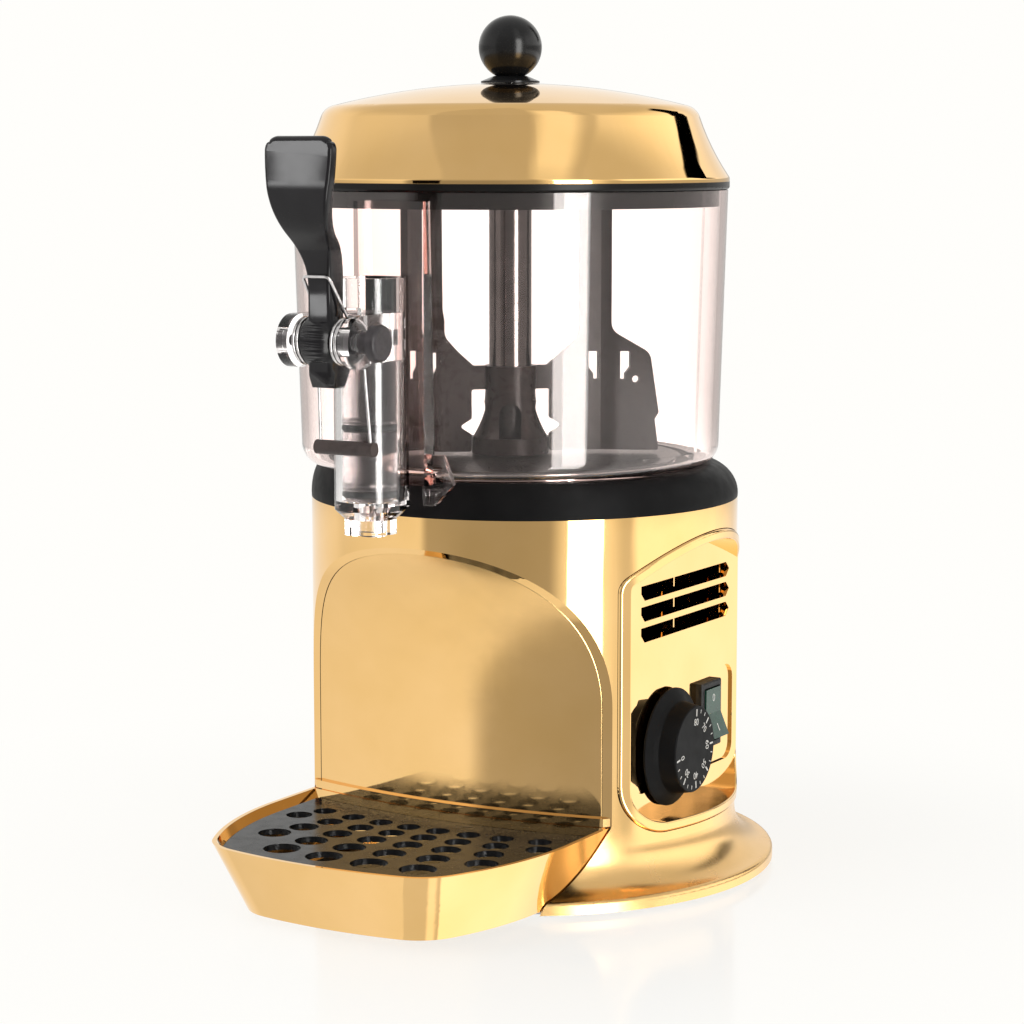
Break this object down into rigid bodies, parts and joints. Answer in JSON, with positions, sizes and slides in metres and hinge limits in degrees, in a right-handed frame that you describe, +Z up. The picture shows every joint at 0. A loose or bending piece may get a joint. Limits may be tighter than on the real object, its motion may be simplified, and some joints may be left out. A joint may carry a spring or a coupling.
{
  "type": "hot drinks dispenser",
  "caption": "Plated countertop dispenser for hot chocolate with a clear stirred bowl, lever tap, cup recess, drip tray, thermostat dial and lit switch.",
  "frame": {"origin": "on the counter under the middle of the drum", "axes": "+Z up, -Y towards the user, +X towards the control panel"},
  "size_m": [0.26, 0.3346, 0.4338],
  "materials": {
    "gold_plate": "polished gold-coloured plating",
    "black_gloss": "glossy black moulding",
    "clear_plastic": "clear polycarbonate",
    "brown_plastic": "brown-black moulding",
    "steel": "plain steel",
    "polished_steel": "polished tube",
    "spring_steel": "bright drawn wire",
    "cast_housing": "plain casting and can",
    "bush_bronze": "sintered bronze",
    "rubber": "black rubber",
    "black_matte": "black moulding",
    "dark_pan": "dark non-stick coat",
    "green_lens": "translucent green lens",
    "natural_plastic": "natural white"
  },
  "bodies": {
    "housing": {"body_shell": "gold_plate", "cup_recess_panel": "gold_plate", "control_panel": "gold_plate", "base_plate": "steel", "rubber_feet": "rubber", "base_screws": "steel", "top_collar": "black_gloss", "bowl_seal": "rubber", "heated_pan": "dark_pan", "pan_screws": "steel", "water_tank": "steel", "heating_element": "steel", "safety_thermostat": "black_matte", "motor_spacers": "steel", "gearbox": "cast_housing", "gearbox_screws": "steel", "gear_motor": "cast_housing", "column_bushes": "bush_bronze", "thermostat_body": "black_matte", "switch_housing": "black_matte", "cord_gland": "black_matte", "terminal_block": "natural_plastic"},
    "drive": {"drive_shaft": "steel"},
    "stirrer": {"stirrer_tube": "polished_steel", "drive_cap": "brown_plastic", "stirrer_bell": "brown_plastic", "stirrer_blades": "brown_plastic"},
    "tray": {"drip_tray": "gold_plate"},
    "grid": {"drip_grid": "black_gloss"},
    "bowl": {"clear_bowl": "clear_plastic", "tap_body": "clear_plastic", "pivot_pin": "black_gloss", "tap_spring": "spring_steel", "spring_sleeve": "brown_plastic"},
    "lever": {"tap_lever": "black_gloss"},
    "piston": {"tap_piston": "natural_plastic", "piston_seals": "rubber"},
    "lid": {"lid_shell": "gold_plate", "lid_washer": "black_gloss", "lid_knob": "black_gloss", "lid_screw": "steel"},
    "knob": {"thermostat_knob": "black_gloss", "thermostat_spindle": "steel"},
    "rocker": {"switch_rocker": "green_lens"}
  },
  "joints": [
    {"name": "stirrer_spin", "type": "hinge", "parent": "housing", "child": "stirrer", "pos_m": [0, -0.01475, 0.214], "axis": [0, 0, 1], "continuous": true},
    {"name": "drive_spin", "type": "hinge", "parent": "housing", "child": "drive", "pos_m": [0, -0.01475, 0.214], "axis": [0, 0, 1], "continuous": true},
    {"name": "bowl_lift", "type": "slide", "parent": "housing", "child": "bowl", "axis": [0, 0, 1], "range_m": [0, 0.15]},
    {"name": "lid_lift", "type": "slide", "parent": "bowl", "child": "lid", "axis": [0, 0, 1], "range_m": [0, 0.1]},
    {"name": "lever_pull", "type": "hinge", "parent": "bowl", "child": "lever", "pos_m": [0, -0.1812, 0.2802], "axis": [1, 0, 0], "range_deg": [0, 25], "stiffness_Nm_per_rad": 0.6, "springref_deg": -8.59, "deforming": ["tap_spring"]},
    {"name": "piston_rise", "type": "slide", "parent": "bowl", "child": "piston", "axis": [0, 0, 1], "range_m": [0, 0.0155]},
    {"name": "knob_turn", "type": "hinge", "parent": "housing", "child": "knob", "pos_m": [0.1, -0.0185, 0.0708], "axis": [1, 0, 0], "range_deg": [-270, 0]},
    {"name": "rocker_tilt", "type": "hinge", "parent": "housing", "child": "rocker", "pos_m": [0.093, 0.025, 0.0795], "axis": [0, 1, 0], "range_deg": [0, 22]},
    {"name": "tray_pull", "type": "slide", "parent": "housing", "child": "tray", "axis": [0, -1, 0], "range_m": [0, 0.06]},
    {"name": "grid_lift", "type": "slide", "parent": "tray", "child": "grid", "axis": [0, 0, 1], "range_m": [0, 0.03]}
  ],
  "couplings": [
    {"joint": "drive_spin", "follows": "stirrer_spin", "ratio": 1},
    {"joint": "piston_rise", "follows": "lever_pull", "m_per_rad": 0.034578}
  ]
}
